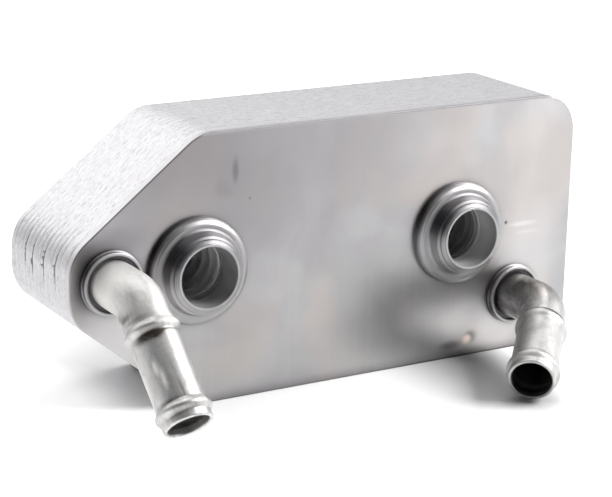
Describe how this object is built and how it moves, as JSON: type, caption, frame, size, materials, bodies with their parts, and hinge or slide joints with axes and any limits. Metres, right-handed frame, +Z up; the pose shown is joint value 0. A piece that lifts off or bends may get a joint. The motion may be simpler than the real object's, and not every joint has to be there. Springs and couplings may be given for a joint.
{
  "type": "plate heat exchanger",
  "caption": "Brazed plate heat exchanger: a chamfered block of stacked sheets with flanged oil sockets and bent, beaded coolant stubs on its cover.",
  "frame": {"origin": "centre of the base plate's outer face, on the outline's mid lines", "axes": "+X along the plate's length, +Y out of the back face, -Y out of the ports, +Z up with the block on its long lower edge"},
  "size_m": [0.197, 0.1034, 0.092],
  "materials": {
    "cover_sheet": "satin",
    "channel_sheet": "satin",
    "base_sheet": "satin",
    "fin_sheet": "satin",
    "turned_socket": "turned",
    "collar": "turned",
    "drawn_tube": "satin"
  },
  "bodies": {
    "root": {"cover_plate": "cover_sheet", "base_plate": "base_sheet", "channel_plate_01": "channel_sheet", "oil_fin_sheet_01": "fin_sheet", "channel_plate_02": "channel_sheet", "coolant_fin_sheet_02": "fin_sheet", "channel_plate_03": "channel_sheet", "oil_fin_sheet_03": "fin_sheet", "channel_plate_04": "channel_sheet", "coolant_fin_sheet_04": "fin_sheet", "channel_plate_05": "channel_sheet", "oil_fin_sheet_05": "fin_sheet", "channel_plate_06": "channel_sheet", "coolant_fin_sheet_06": "fin_sheet", "channel_plate_07": "channel_sheet", "oil_fin_sheet_07": "fin_sheet", "channel_plate_08": "channel_sheet", "coolant_fin_sheet_08": "fin_sheet", "channel_plate_09": "channel_sheet", "oil_fin_sheet_09": "fin_sheet", "channel_plate_10": "channel_sheet", "coolant_fin_sheet_10": "fin_sheet", "channel_plate_11": "channel_sheet", "oil_fin_sheet_11": "fin_sheet", "channel_plate_12": "channel_sheet", "coolant_fin_sheet_12": "fin_sheet", "channel_plate_13": "channel_sheet", "oil_fin_sheet_13": "fin_sheet", "channel_plate_14": "channel_sheet", "coolant_fin_sheet_14": "fin_sheet", "oil_socket_left": "turned_socket", "oil_socket_right": "turned_socket", "coolant_collar_left": "collar", "coolant_collar_right": "collar", "coolant_elbow_left": "drawn_tube", "coolant_elbow_right": "drawn_tube"}
  },
  "joints": []
}
